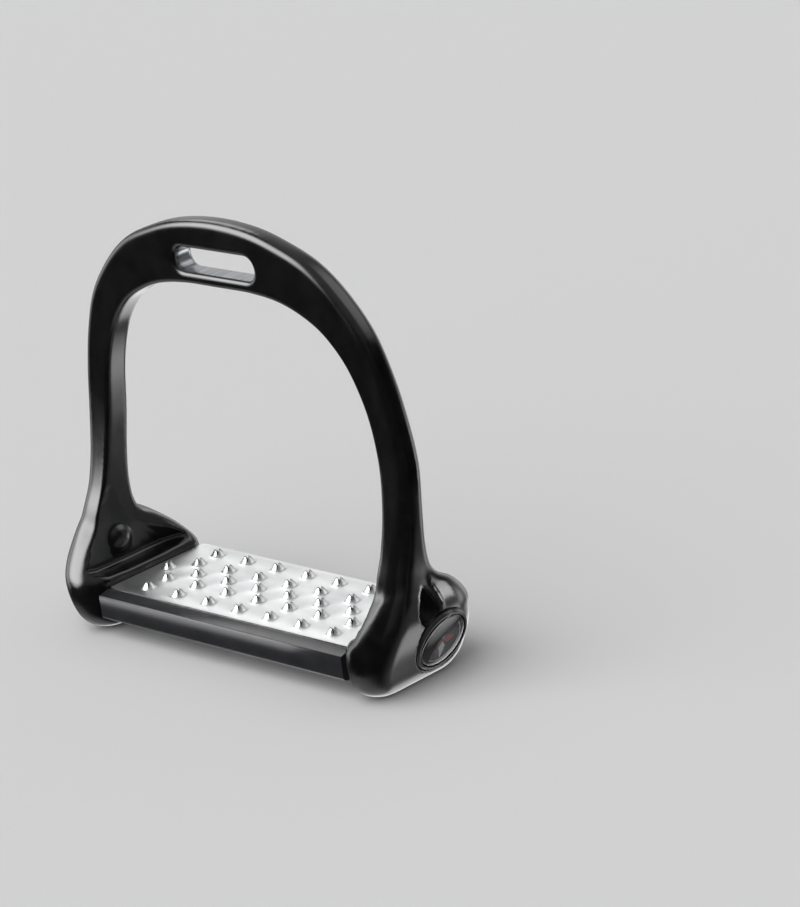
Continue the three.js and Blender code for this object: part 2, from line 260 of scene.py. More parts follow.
def carve(body, tools):
    """Cuts the tools out of the body."""
    cutter = joined("cutter", tools)
    step = body.modifiers.new("carve", "BOOLEAN")
    step.operation = "DIFFERENCE"
    step.solver = "EXACT"
    step.object = cutter
    with_modifiers(body)
    bpy.data.objects.remove(cutter)
    return body


def bevelled(obj, width, sharp=30, segments=3):
    """Rounds the hard edges of an object, width in millimetres."""
    edge = obj.modifiers.new("edge", "BEVEL")
    edge.width = width / 1000
    edge.segments = segments
    edge.limit_method = "ANGLE"
    edge.angle_limit = math.radians(sharp)
    edge.harden_normals = False
    return shade(with_modifiers(obj), 40)


def both_sides(make):
    """Calls make() for the right side and again, mirrored, for the left."""
    return [make(), turned(make(), MIRROR)]


def ball(name):
    """A ball of radius 1."""
    return lathe(name, [(math.sin(a), -math.cos(a)) for a in np.linspace(0, math.pi, 25)], 48)


def rod_x(radius, x0, x1, y, z, sides=48):
    """A rod along x."""
    rod = lathe("rod", [(0, x0), (radius, x0), (radius, x1), (0, x1)], sides)
    return turned(rod, Matrix.Translation((0, y, z)) @ ALONG_X)


def rod_z(radius, z0, z1, x, y, sides=48):
    """A rod along z."""
    rod = lathe("rod", [(0, z0), (radius, z0), (radius, z1), (0, z1)], sides)
    return turned(rod, Matrix.Translation((x, y, 0)))


def rounded(outline, steps=6):
    """A flat outline from corners (a, b, radius), each turned into an arc of that radius."""
    points = []
    count = len(outline)
    for k, (a, b, radius) in enumerate(outline):
        here = Vector((a, b))
        before = Vector(outline[k - 1][:2]) - here
        after = Vector(outline[(k + 1) % count][:2]) - here
        half = before.angle(after) / 2
        if radius == 0:
            points.append(tuple(here))
            continue
        back = radius / math.tan(half)
        inwards = (before.normalized() + after.normalized()).normalized()
        centre = here + inwards * radius / math.sin(half)
        start = here + before.normalized() * back - centre
        end = here + after.normalized() * back - centre
        turn = start.angle_signed(end)
        for step in range(steps + 1):
            spoke = start.copy()
            spoke.rotate(Matrix.Rotation(-turn * step / steps, 2))
            points.append(tuple(centre + spoke))
    return points


def extruded_x(name, outline, x0, x1):
    """A prism along x with that (y, z) outline."""
    return loft(name, [[(x, y, z) for y, z in outline] for x in (x0, x1)])


# ---------------------------------------------------------------- material helpers

def material(name, colour, roughness, metallic=0.0):
    """A Principled material and its node tree."""
    mat = bpy.data.materials.new(name)
    mat.use_nodes = True
    shader = mat.node_tree.nodes["Principled BSDF"]
    shader.inputs["Base Color"].default_value = (*colour, 1)
    shader.inputs["Roughness"].default_value = roughness
    shader.inputs["Metallic"].default_value = metallic
    return mat, shader


def node(tree, kind, **values):
    """A shader node. Each value sets a socket of that name, or else a property."""
    made = tree.nodes.new(kind)
    for key, value in values.items():
        socket = made.inputs.get(key.replace("_", " "))
        if socket is not None:
            socket.default_value = value
        else:
            setattr(made, key, value)
    return made


def place(tree, stretch=(1, 1, 1)):
    """Object coordinates, stretched."""
    coords = node(tree, "ShaderNodeTexCoord")
    scaled = node(tree, "ShaderNodeMapping")
    scaled.inputs["Scale"].default_value = stretch
    tree.links.new(coords.outputs["Object"], scaled.inputs["Vector"])
    return scaled.outputs["Vector"]


def noise_at(tree, scale, detail=3.0, stretch=(1, 1, 1)):
    """A noise pattern with that many waves in a metre."""
    pattern = node(tree, "ShaderNodeTexNoise", Scale=scale, Detail=detail)
    tree.links.new(place(tree, stretch), pattern.inputs["Vector"])
    return pattern.outputs["Fac"]


def spread(tree, value, low, high, from_low=0.3, from_high=0.7):
    """Maps from_low to from_high onto low to high, and holds the ends beyond them."""
    mapped = node(tree, "ShaderNodeMapRange")
    mapped.inputs["From Min"].default_value = from_low
    mapped.inputs["From Max"].default_value = from_high
    mapped.inputs["To Min"].default_value = low
    mapped.inputs["To Max"].default_value = high
    tree.links.new(value, mapped.inputs["Value"])
    return mapped.outputs["Result"]


def math_of(tree, operation, a, b):
    """A Math node on two numbers or outputs."""
    step = node(tree, "ShaderNodeMath", operation=operation)
    for socket, value in zip(step.inputs, (a, b)):
        if isinstance(value, (int, float)):
            socket.default_value = value
        else:
            tree.links.new(value, socket)
    return step.outputs["Value"]


def bump(tree, shader, height, strength, distance):
    """Bump of a height pattern, distance in millimetres."""
    made = node(tree, "ShaderNodeBump")
    made.inputs["Strength"].default_value = strength
    made.inputs["Distance"].default_value = distance / 1000
    tree.links.new(height, made.inputs["Height"])
    tree.links.new(made.outputs["Normal"], shader.inputs["Normal"])


def tint(tree, value, dark, light):
    """Colour between dark and light by a pattern."""
    ramp = node(tree, "ShaderNodeValToRGB")
    ramp.color_ramp.elements[0].color = (*dark, 1)
    ramp.color_ramp.elements[1].color = (*light, 1)
    ramp.color_ramp.elements[0].position = 0.35
    ramp.color_ramp.elements[1].position = 0.65
    tree.links.new(value, ramp.inputs["Fac"])
    return ramp.outputs["Color"]


# ---------------------------------------------------------------- materials

def gloss_paint():
    """Gloss black paint over a casting: slight orange peel, sandy in the pockets, and worn off
    inside the slot."""
    mat, shader = material("gloss_black_paint", (0.005, 0.005, 0.0055), 0.2)
    tree = mat.node_tree
    cast = node(tree, "ShaderNodeAttribute", attribute_name="cast").outputs["Fac"]
    bare = node(tree, "ShaderNodeAttribute", attribute_name="bare").outputs["Fac"]
    colour = tint(tree, noise_at(tree, 240, 4), (0.0034, 0.0034, 0.004), (0.0062, 0.0062, 0.0068))
    metal = tint(tree, noise_at(tree, 900, 4, (1, 0.05, 1)), (0.22, 0.23, 0.25), (0.42, 0.43, 0.44))
    worn = node(tree, "ShaderNodeMix", data_type="RGBA")
    tree.links.new(bare, worn.inputs["Factor"])
    tree.links.new(colour, worn.inputs[6])
    tree.links.new(metal, worn.inputs[7])
    tree.links.new(worn.outputs[2], shader.inputs["Base Color"])
    tree.links.new(bare, shader.inputs["Metallic"])
    haze = spread(tree, noise_at(tree, 60, 5), 0.17, 0.25)
    rough = math_of(tree, "ADD", haze, math_of(tree, "MULTIPLY", cast, 0.3))
    rough = math_of(tree, "ADD", rough, math_of(tree, "MULTIPLY", bare, 0.1))
    tree.links.new(rough, shader.inputs["Roughness"])
    peel = math_of(tree, "MULTIPLY", noise_at(tree, 420, 2), 0.25)
    grain = math_of(tree, "MULTIPLY", noise_at(tree, 1500, 3), math_of(tree, "MULTIPLY", cast, 3.0))
    bump(tree, shader, math_of(tree, "ADD", peel, grain), 0.35, 0.12)
    shader.inputs["Specular IOR Level"].default_value = 0.75
    return mat


def satin_paint():
    """Satin black paint on the tread bar."""
    mat, shader = material("satin_black_paint", (0.024, 0.0245, 0.027), 0.28)
    tree = mat.node_tree
    colour = tint(tree, noise_at(tree, 90, 5), (0.021, 0.0215, 0.024), (0.028, 0.0285, 0.031))
    tree.links.new(colour, shader.inputs["Base Color"])
    tree.links.new(spread(tree, noise_at(tree, 140, 5), 0.18, 0.25), shader.inputs["Roughness"])
    bump(tree, shader, noise_at(tree, 1800, 3), 0.25, 0.05)
    shader.inputs["Specular IOR Level"].default_value = 0.35
    return mat


def brushed_steel():
    """Bright stainless sheet, finely brushed along the tread."""
    mat, shader = material("stainless_sheet", (0.76, 0.77, 0.77), 0.3, 1.0)
    tree = mat.node_tree
    lines = noise_at(tree, 1400, 4, (0.03, 1, 1))
    cloud = noise_at(tree, 45, 4)
    tree.links.new(tint(tree, cloud, (0.7, 0.715, 0.72), (0.8, 0.805, 0.8)), shader.inputs["Base Color"])
    rough = math_of(tree, "ADD", spread(tree, lines, 0.32, 0.42), spread(tree, cloud, -0.03, 0.04))
    tree.links.new(rough, shader.inputs["Roughness"])
    bump(tree, shader, lines, 0.18, 0.03)
    return mat


def zinc_plate():
    """Bright zinc on the hidden screws, bolts and washers."""
    mat, shader = material("zinc_plated_steel", (0.55, 0.56, 0.58), 0.35, 1.0)
    tree = mat.node_tree
    cloud = noise_at(tree, 500, 5)
    tree.links.new(tint(tree, cloud, (0.45, 0.46, 0.49), (0.64, 0.64, 0.62)), shader.inputs["Base Color"])
    tree.links.new(spread(tree, cloud, 0.26, 0.46), shader.inputs["Roughness"])
    bump(tree, shader, cloud, 0.2, 0.03)
    return mat


def rubber():
    """Dull black rubber of the pad."""
    mat, shader = material("pad_rubber", (0.018, 0.018, 0.019), 0.8)
    tree = mat.node_tree
    grain = noise_at(tree, 2200, 3)
    colour = tint(tree, grain, (0.012, 0.012, 0.013), (0.026, 0.026, 0.027))
    tree.links.new(colour, shader.inputs["Base Color"])
    tree.links.new(spread(tree, noise_at(tree, 300, 4), 0.7, 0.9), shader.inputs["Roughness"])
    bump(tree, shader, grain, 0.4, 0.08)
    return mat


def bezel_plastic():
    """Glossy dark plastic of the ring round the badge."""
    mat, shader = material("bezel_plastic", (0.02, 0.021, 0.024), 0.2)
    tree = mat.node_tree
    cloud = noise_at(tree, 300, 4)
    colour = tint(tree, cloud, (0.016, 0.017, 0.02), (0.03, 0.031, 0.035))
    tree.links.new(colour, shader.inputs["Base Color"])
    tree.links.new(spread(tree, cloud, 0.14, 0.26), shader.inputs["Roughness"])
    bump(tree, shader, noise_at(tree, 1500, 2), 0.1, 0.02)
    return mat


def badge_foil():
    """Dark printed disc."""
    mat, shader = material("badge_foil", (0.02, 0.021, 0.025), 0.4)
    tree = mat.node_tree
    fleck = noise_at(tree, 900, 4)
    colour = tint(tree, fleck, (0.012, 0.012, 0.015), (0.034, 0.035, 0.042))
    tree.links.new(colour, shader.inputs["Base Color"])
    tree.links.new(spread(tree, fleck, 0.3, 0.5), shader.inputs["Roughness"])
    bump(tree, shader, fleck, 0.1, 0.02)
    return mat


def badge_ink(name, colour):
    """Printing ink on the badge."""
    mat, shader = material(name, colour, 0.45)
    tree = mat.node_tree
    cloud = noise_at(tree, 700, 3)
    tree.links.new(tint(tree, cloud, tuple(0.85 * c for c in colour), colour), shader.inputs["Base Color"])
    tree.links.new(spread(tree, cloud, 0.38, 0.5), shader.inputs["Roughness"])
    return mat


def clear_resin():
    """Clear cover of the badge."""
    mat, shader = material("clear_resin", (0.93, 0.94, 0.95), 0.03)
    tree = mat.node_tree
    shader.inputs["Transmission Weight"].default_value = 1.0
    shader.inputs["IOR"].default_value = 1.48
    tree.links.new(spread(tree, noise_at(tree, 400, 3), 0.02, 0.06), shader.inputs["Roughness"])
    return mat


# ---------------------------------------------------------------- the cast frame

# Inner edge x and z, outer edge x and z, front y, rear y, then the corner radii outer front,
# outer rear, inner rear and inner front, from the foot of the hub to the crest.
ARCH_SECTION = (ARCH_FRONT, ARCH_REAR, 2.8, 4.4, 1.6, 1.6)
STATIONS = np.array([
    (64.0, 0.0, 70.2, 0.0, -13.0, 12.0, 3, 3, 3, 3),
    (61.8, 1.6, 72.2, 1.4, -20.5, 17.5, 5, 8, 4, 5),
    (60.5, 5.5, 74.8, 5.0, -25.0, 22.4, 7.4, 12, 5, 6.8),
    (60.0, 10.5, 77.3, 10.5, -26.8, 25.2, 8.8, 15, 5, 8.2),
    (60.0, 15.5, 79.5, 16.0, -HUB_HALF_DEPTH, 26.4, 10.2, 17, 5, 8.8),
    (60.4, 18.8, 80.8, 20.6, -26.2, 25.8, 10.8, 17, 5, 8.4),
    (63.0, 22.4, 81.6, 25.2, -23.4, 23.6, 10.4, 14.5, 4.4, 6.6),
    (65.6, 26.6, 81.4, 29.6, -20.1, 19.8, 9.4, 11.5, 3.6, 4.4),
    (66.8, 30.6, 80.5, 34.2, -16.6, 14.4, 7.8, 8, 2.8, 2.8),
    (67.3, 34.4, 79.9, 37.4, -13.8, 8.4, 6.8, 6, 2.2, 2.2),
    (67.5, 40.0, 79.4, 41.2, -11.6, 5.4, 6.2, 5, 1.8, 2),
    (67.6, 48.6, 78.9, 48.6, -7.8, 4.9, 5.6, 4.4, 1.6, 1.6),
    (67.2, 59.6, 78.5, 59.6, -4.6, 6.1, 4.8, 4.2, 1.6, 1.6),
    (66.1, 73.6, 77.8, 74.6, -2.0, 8.0, 3.8, 4.2, 1.6, 1.6),
    (63.9, 87.6, 75.5, 89.6, -1.1, 8.4, 3.0, 4.4, 1.6, 1.6),
    (60.4, 98.6, 71.5, 104.6, *ARCH_SECTION),
    (55.4, 108.1, 65.4, 118.6, *ARCH_SECTION),
    (47.6, 116.4, 55.5, 130.6, *ARCH_SECTION),
    (38.6, 121.6, 44.5, 139.2, *ARCH_SECTION),
    (28.4, 125.0, 32.0, 144.4, *ARCH_SECTION),
    (16.0, 126.5, 17.6, 148.2, *ARCH_SECTION),
    (0.0, INNER_CREST, 0.0, CREST_HEIGHT, *ARCH_SECTION),
])
OTHER_SIDE = np.array([-1, 1, -1, 1, 1, 1, 1, 1, 1, 1])


def smooth_rows(rows, steps):
    """Catmull-Rom through the rows, symmetrical over the last one."""
    padded = np.vstack([rows[0], rows, rows[-2] * OTHER_SIDE])
    fine = []
    for k in range(1, len(padded) - 2):
        a, b, c, d = padded[k - 1:k + 3]
        for t in np.arange(steps) / steps:
            fine.append(0.5 * (2 * b + (c - a) * t + (2 * a - 5 * b + 4 * c - d) * t ** 2
                               + (3 * b - a - 3 * c + d) * t ** 3))
    fine.append(rows[-1])
    return np.array(fine)


def frame_ring(row, steps=9):
    """A rectangle with four rounded corners, across the frame."""
    inner = np.array([row[0], 0, row[1]])
    across = np.array([row[2], 0, row[3]]) - inner
    thickness = np.linalg.norm(across)
    across = across / thickness
    front, rear, outer_front, outer_rear, inner_rear, inner_front = row[4:]
    corners = [
        (thickness - outer_rear, rear - outer_rear, outer_rear),
        (inner_rear, rear - inner_rear, inner_rear),
        (inner_front, front + inner_front, inner_front),
        (thickness - outer_front, front + outer_front, outer_front),
    ]
    ring = []
    for quarter, (s, y, radius) in enumerate(corners):
        for k in range(steps + 1):
            angle = (quarter + k / steps) * math.pi / 2
            point = inner + across * (s + radius * math.cos(angle))
            point[1] = y + radius * math.sin(angle)
            ring.append(point)
    return ring


def frame_blank():
    half = smooth_rows(STATIONS, 8)
    mirrored = half[:-1] * OTHER_SIDE
    return loft("cast_frame", [frame_ring(row) for row in np.vstack([half, mirrored[::-1]])])


def slot_tool():
    """The leather slot: a stadium with generously rounded lips, wider at the back."""
    straight = (SLOT_WIDTH - SLOT_HEIGHT) / 2
    rings = []
    front_lip, rear_lip, beyond = 1.7, 2.4, 1.5
    levels = [(ARCH_FRONT - beyond, front_lip + beyond)]
    for angle in np.linspace(0, math.pi / 2, 7):
        levels.append((ARCH_FRONT + front_lip * (1 - math.cos(angle)), front_lip * (1 - math.sin(angle))))
    for angle in np.linspace(math.pi / 2, 0, 7):
        levels.append((ARCH_REAR - rear_lip * (1 - math.cos(angle)), rear_lip * (1 - math.sin(angle))))
    levels.append((ARCH_REAR + beyond, rear_lip + beyond))
    for y, extra in levels:
        radius = SLOT_HEIGHT / 2 + extra
        ring = []
        for k in range(64):
            angle = 2 * math.pi * (k + 0.5) / 64
            x = math.copysign(straight, math.cos(angle)) + radius * math.cos(angle)
            ring.append((x, y, SLOT_Z + radius * math.sin(angle)))
        rings.append(ring)
    return loft("slot", rings)


def hollow_tool():
    """The three-cornered hollow over the tread: steep in front and below, gentle behind and above."""
    mouth = np.array([
        (-25, 19.4), (-18.6, 29), (-13.8, 37), (-8.8, 46), (-4.6, 55), (-0.6, 55),
        (1.2, 43), (4.4, 36), (9.6, 31.6), (17, 26), (22, 19.4),
    ])
    for _ in range(2):
        ahead = np.roll(mouth, -1, axis=0)
        mouth = np.stack([0.8 * mouth + 0.2 * ahead, 0.2 * mouth + 0.8 * ahead], 1).reshape(-1, 2)
    corner = np.array((-19, 20.4))
    rings = []
    for x, scale in [(56, 1.12), (62.6, 1.05), (64.4, 1), (66, 0.94), (67.2, 0.86), (68, 0.76), (68.4, 0.64)]:
        rings.append([(x, y, z) for y, z in corner + (mouth - corner) * scale])
    return loft("hollow", rings)


def pocket_tool():
    """The teardrop pocket on the outside of the hub."""
    half_width, up, down = 4, 7.8, 6.2
    centre = Vector((POCKET_FLOOR_X + POCKET_DEPTH, POCKET_Y, POCKET_Z))
    drop = ball("pocket")
    for vert in drop.data.vertices:
        x, y, z = vert.co * 1000
        above = max(z, -0.2)
        taper = ((1.02 - above) / (1.02 + above)) ** 0.36
        point = centre + Vector((x * POCKET_DEPTH, y * half_width * taper, z * (up if z > 0 else down)))
        vert.co = point / 1000
    return outward(drop)


def pocket_rim():
    """The thin raised edge behind the pocket, running up into the branch's outer rear edge."""
    path = np.array([
        (80.2, 2.2, 21.6), (81.3, 3.5, 25), (81.35, 3.4, 28.4),
        (80.9, 2.2, 31.8), (80.2, 1.0, 35.2), (79.5, 0.8, 39),
    ])
    radii = (0.2, 0.7, 0.8, 0.75, 0.6, 0.2)
    rings = []
    for k, centre in enumerate(path):
        ahead = path[min(k + 1, len(path) - 1)] - path[max(k - 1, 0)]
        ahead = ahead / np.linalg.norm(ahead)
        side = np.cross(ahead, (1, 0, 0))
        side = side / np.linalg.norm(side)
        up = np.cross(ahead, side)
        angles = np.arange(12) / 12 * 2 * math.pi
        rings.append([centre + radii[k] * (side * math.cos(a) + up * math.sin(a)) for a in angles])
    return loft("rim", rings)


def pocket_back():
    """The low round boss in the hollow, the back of the teardrop pocket."""
    size = Matrix.Diagonal((*BOSS_SIZE, 1))
    return turned(ball("boss"), Matrix.Translation(BOSS_CENTRE) @ size)


def badge_matrix():
    """Where the right badge sits: its own +Z points out of the hub and a little down."""
    turn = Matrix.Rotation(math.pi / 2 + BADGE_TILT, 4, "Y")
    return Matrix.Translation(BADGE_CENTRE) @ turn


def recess_tool():
    """The round seat of the badge in the hub."""
    radius, beyond = BEZEL_RADIUS + GAP, 5
    profile = [(0, -RECESS_DEPTH), (radius, -RECESS_DEPTH), (radius, beyond), (0, beyond)]
    return turned(lathe("recess", profile), badge_matrix())


def mark_surface(obj):
    """Two 0 to 1 attributes: cast grain inside the teardrop pockets, and bare metal inside the slot."""
    co = np.empty(len(obj.data.vertices) * 3)
    obj.data.vertices.foreach_get("co", co)
    x, y, z = co.reshape(-1, 3).T * 1000
    x = np.abs(x)
    grain_z, half_width, half_height = 28.2, 4.1, 7
    inside = ((y - POCKET_Y) / half_width) ** 2 + ((z - grain_z) / half_height) ** 2
    grain = np.clip((1.15 - inside) * 4, 0, 1) * np.clip((80.6 - x) / 1.2, 0, 1) * (x > 73)
    radius = np.hypot(np.maximum(x - (SLOT_WIDTH - SLOT_HEIGHT) / 2, 0), z - SLOT_Z)
    depth = np.clip((y - ARCH_FRONT - 1.1) / 0.4, 0, 1) * np.clip((ARCH_REAR - 0.6 - y) / 0.4, 0, 1)
    bare = np.clip((SLOT_HEIGHT / 2 + 1.0 - radius) / 0.4, 0, 1) * depth * (z > INNER_CREST)
    for name, value in (("cast", grain), ("bare", bare)):
        mark = obj.data.attributes.new(name, "FLOAT", "POINT")
        mark.data.foreach_set("value", value)


def cast_frame():
    """The arch, branches and hubs: one casting, with its edges softened as paint and polishing do."""
    body = carve(frame_blank(), [slot_tool()])
    for make in (hollow_tool, pocket_tool, recess_tool):
        carve(body, both_sides(make))
    for radius, x0, x1 in (
        (WASHER_RADIUS + GAP, BOLT_SEAT_X, BADGE_CENTRE.x),
        (BOLT_RADIUS + GAP, 55, BOLT_SEAT_X + 1),
    ):
        carve(body, both_sides(lambda: rod_x(radius, x0, x1, BOLT_Y, BOLT_Z)))
    body = joined("cast_frame", [body, *both_sides(pocket_back), *both_sides(pocket_rim)])
    remesh = body.modifiers.new("remesh", "REMESH")
    remesh.mode = "VOXEL"
    remesh.voxel_size = VOXEL / 1000
    soften = body.modifiers.new("soften", "SMOOTH")
    soften.factor = 0.5
    soften.iterations = 5
    with_modifiers(body)
    low, high = node_box("arch_frame")
    for vert in body.data.vertices:
        limits = zip(vert.co, low, high)
        vert.co = [min(max(value, small / 1000), large / 1000) for value, small, large in limits]
    body.data.polygons.foreach_set("use_smooth", [True] * len(body.data.polygons))
    mark_surface(body)
    return finish_piece(body, gloss_paint(), "arch_frame")


def finish_piece(obj, mat, cad_node):
    """Gives a piece its material if it has none and its body, and hides the CAD node that it stands for."""
    if not obj.data.materials:
        obj.data.materials.append(mat)
    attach(obj, "root")
    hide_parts(cad_node)
    return obj


# ---------------------------------------------------------------- the tread

PLATE_LOW, PLATE_HIGH = node_box("tread_plate")
PLATE_TOP = PLATE_HIGH.z - TOOTH_HEIGHT
PAD_LOW = node_box("tread_pad")[0]
BAR_LOW, BAR_HIGH = node_box("tread_bar")
SCREWS = [node_box(f"plate_screw_{k}") for k in range(1, 7)]


def tread_bar():
    """The bar under the plate, with a sloping lip in front of the plate and an upright front."""
    rim = PLATE_TOP - 0.2
    front, rear, bottom = BAR_LOW.y, BAR_HIGH.y, BAR_LOW.z
    seat = PAD_LOW.z - GAP
    outline = [
        (front + 6, bottom, 6), (rear - 2, bottom, 4.6), (rear, seat, 0),
        (PLATE_LOW.y - GAP, seat, 0), (PLATE_LOW.y - GAP, rim, 0.15), (PLATE_LOW.y - GAP - 0.6, rim, 0.2),
        (front, rim - 1.2, 0.7), (front, bottom + 2, 1.2),
    ]
    bar = extruded_x("bar", rounded(outline), BAR_LOW.x, BAR_HIGH.x)
    head_bore, shank_bore, bolt_bore_end = 2.2, SCREW_RADIUS + GAP, 44
    carve(bar, [rod_z((high.x - low.x) / 2 + GAP, bottom - 1, low.z + head_bore, *middle_of(low, high))
                for low, high in SCREWS])
    carve(bar, [rod_z(shank_bore, bottom + 1, seat + 1, *middle_of(low, high)) for low, high in SCREWS])
    carve(bar, both_sides(lambda: rod_x(BOLT_RADIUS + GAP, bolt_bore_end, BAR_HIGH.x + 1, BOLT_Y, BOLT_Z)))
    bar.name = "bar_body"
    return finish_piece(bevelled(bar, 0.35), satin_paint(), "tread_bar")


def tooth_places():
    """Middles of the teeth. The middle row has one more than the others, and sits half a pitch off."""
    middle = (PLATE_LOW.y + PLATE_HIGH.y) / 2
    for index, row in enumerate(TOOTH_ROWS):
        count = 8 if index == 2 else 7
        for k in range(count):
            yield (k - (count - 1) / 2) * TOOTH_PITCH, middle + row


def tooth_rows(sides=32):
    """Rings of one pierced tooth from its base to its torn rim: four petals with slits between them."""
    profile = [
        (3.3, 0), (2.95, 0.05), (2.6, 0.25), (2.2, 0.62),
        (1.85, 1.05), (1.5, 1.5), (1.2, 1.9), (1.0, TOOTH_HEIGHT),
    ]
    radii, heights = np.array(profile).T
    steps = np.linspace(0, 1, len(profile))
    rings = []
    for step in steps:
        ring = []
        for k in range(sides):
            angle = 2 * math.pi * k / sides
            petal = abs(math.cos(2 * angle)) ** 0.6
            t = step * (1 - SLIT_DEPTH * (1 - petal) * step)
            ring.append((np.interp(t, steps, radii), angle, np.interp(t, steps, heights)))
        rings.append(ring)
    return rings


def tread_plate():
    """One sheet pierced from below: each hole's metal stands up as a four-petalled tooth."""
    bm = bmesh.new()
    rings = tooth_rows()
    edges = []
    for x, y in tooth_places():
        levels = []
        for ring in rings:
            levels.append([bm.verts.new((x + r * math.cos(a), y + r * math.sin(a), PLATE_TOP + h))
                           for r, a, h in ring])
        for low, high in zip(levels, levels[1:]):
            for k in range(len(low)):
                n = (k + 1) % len(low)
                bm.faces.new((low[k], low[n], high[n], high[k]))
        edges += [bm.edges.get((levels[0][k], levels[0][k - 1])) for k in range(len(levels[0]))]
    border = rounded([
        (PLATE_LOW.x, PLATE_LOW.y, 0.8), (PLATE_HIGH.x, PLATE_LOW.y, 0.8),
        (PLATE_HIGH.x, PLATE_HIGH.y, 0.8), (PLATE_LOW.x, PLATE_HIGH.y, 0.8),
    ])
    outer = [bm.verts.new((x, y, PLATE_TOP)) for x, y in border]
    edges += [bm.edges.new((outer[k - 1], outer[k])) for k in range(len(outer))]
    bmesh.ops.triangle_fill(bm, use_beauty=True, edges=edges)
    bmesh.ops.recalc_face_normals(bm, faces=bm.faces)
    if sum(face.normal.z * face.calc_area() for face in bm.faces) < 0:
        bmesh.ops.reverse_faces(bm, faces=bm.faces)
    bmesh.ops.scale(bm, vec=(0.001, 0.001, 0.001), verts=bm.verts)
    mesh = bpy.data.meshes.new("pierced_plate")
    bm.to_mesh(mesh)
    bm.free()
    plate = linked("pierced_plate", mesh)
    sheet = plate.modifiers.new("sheet", "SOLIDIFY")
    sheet.thickness = SHEET / 1000
    sheet.offset = -1
    with_modifiers(plate)
    return finish_piece(shade(plate, 38), brushed_steel(), "tread_plate")


def plate_screw(number):
    """A pan-head screw with a hexagon socket, head down."""
    low, high = SCREWS[number - 1]
    radius, shank, head = (high.x - low.x) / 2, SCREW_RADIUS, SCREW_HEAD_HEIGHT
    profile = [(0, low.z), (radius - 0.5, low.z), (radius - 0.1, low.z + 0.25), (radius, low.z + 0.7),
               (radius, low.z + head), (shank, low.z + head)]
    thread = np.arange(low.z + head + 0.6, high.z - 0.6, 0.25)
    profile += [(shank - 0.14 * (k % 2), z) for k, z in enumerate(thread)]
    profile += [(shank - 0.2, high.z), (0, high.z)]
    x, y = middle_of(low, high)
    screw = turned(lathe(f"screw_{number}", profile, 48), Matrix.Translation((x, y, 0)))
    socket_radius, socket_depth = 1.3, 0.9
    carve(screw, [rod_z(socket_radius, low.z - 1, low.z + socket_depth, x, y, 6)])
    return finish_piece(shade(screw), ZINC, f"plate_screw_{number}")


def tread_pad():
    """The hidden pad keeps its CAD mesh and gets rubber."""
    pad = frame["nodes"]["tread_pad"]
    pad.data.materials.clear()
    pad.data.materials.append(rubber())


# ---------------------------------------------------------------- the badge and bolt at each hub

def sided(obj, side):
    """Leaves a right-hand piece as it is, or mirrors it for the left."""
    return turned(obj, MIRROR) if side == "left" else obj


def arc(radius, rise, start, steps):
    """Profile points of a low dome from its rim to its middle."""
    angles = np.linspace(0, math.pi / 2, steps)[:-1]
    rim = [(radius * math.cos(a), start + rise * math.sin(a)) for a in angles]
    return [*rim, (0, start + rise)]


def hub_washer(side):
    """Washer under the bolt's head."""
    inner, outer, thick = BOLT_RADIUS + GAP, WASHER_RADIUS, WASHER_THICKNESS
    edge = 0.15
    profile = [(inner, 0), (outer - edge, 0), (outer, edge), (outer, thick - edge), (outer - edge, thick),
               (inner + edge, thick), (inner, thick - edge), (inner, 0)]
    seat = Matrix.Translation((BOLT_SEAT_X + GAP, BOLT_Y, BOLT_Z))
    washer = turned(lathe(f"washer_{side}", profile, 64), seat @ ALONG_X)
    return finish_piece(sided(washer, side), ZINC, f"hub_washer_{side}")


def hub_bolt(side):
    """Cap-head bolt: plain round head, hexagon socket and a ringed shank for the thread."""
    head, shank, top = BOLT_HEAD_RADIUS, BOLT_RADIUS, BOLT_HEAD_HEIGHT
    thread = [(shank - 0.25 * (k % 2), -z) for k, z in enumerate(np.arange(1.2, BOLT_LENGTH - 0.6, 0.4))]
    profile = [(0, -BOLT_LENGTH), (shank - 0.5, -BOLT_LENGTH), *thread[::-1], (shank, 0), (head, 0),
               (head, 2.6), (head - 0.4, top), (0, top)]
    bolt = lathe(f"bolt_{side}", profile, 64)
    socket = lathe("socket", [(0, 1.2), (2, 1.2), (2, 4), (0, 4)], 6)
    carve(bolt, [socket])
    seat = BOLT_SEAT_X + GAP + WASHER_THICKNESS + GAP
    turned(bolt, Matrix.Translation((seat, BOLT_Y, BOLT_Z)) @ ALONG_X)
    return finish_piece(shade(sided(bolt, side)), ZINC, f"hub_bolt_{side}")


def badge_bezel(side):
    """Stepped plastic ring round the badge."""
    base, rim = BADGE_FLOOR, BADGE_FLOOR + BEZEL_HEIGHT
    inner, outer = BEZEL_RADIUS - BEZEL_WIDTH, BEZEL_RADIUS
    profile = [
        (inner, base), (outer - 0.1, base), (outer, base + 0.1), (outer, rim - 0.75),
        (outer - 0.12, rim - 0.55), (outer - 0.4, rim - 0.45), (outer - 0.5, rim - 0.12), (outer - 0.65, rim),
        (outer - 1.1, rim), (outer - 1.25, rim - 0.12), (outer - 1.3, rim - 0.35), (inner + 0.1, rim - 0.4),
        (inner, rim - 0.5), (inner, base),
    ]
    ring = turned(lathe(f"bezel_{side}", profile, 128, 50), badge_matrix())
    return finish_piece(sided(ring, side), bezel_plastic(), f"badge_bezel_{side}")


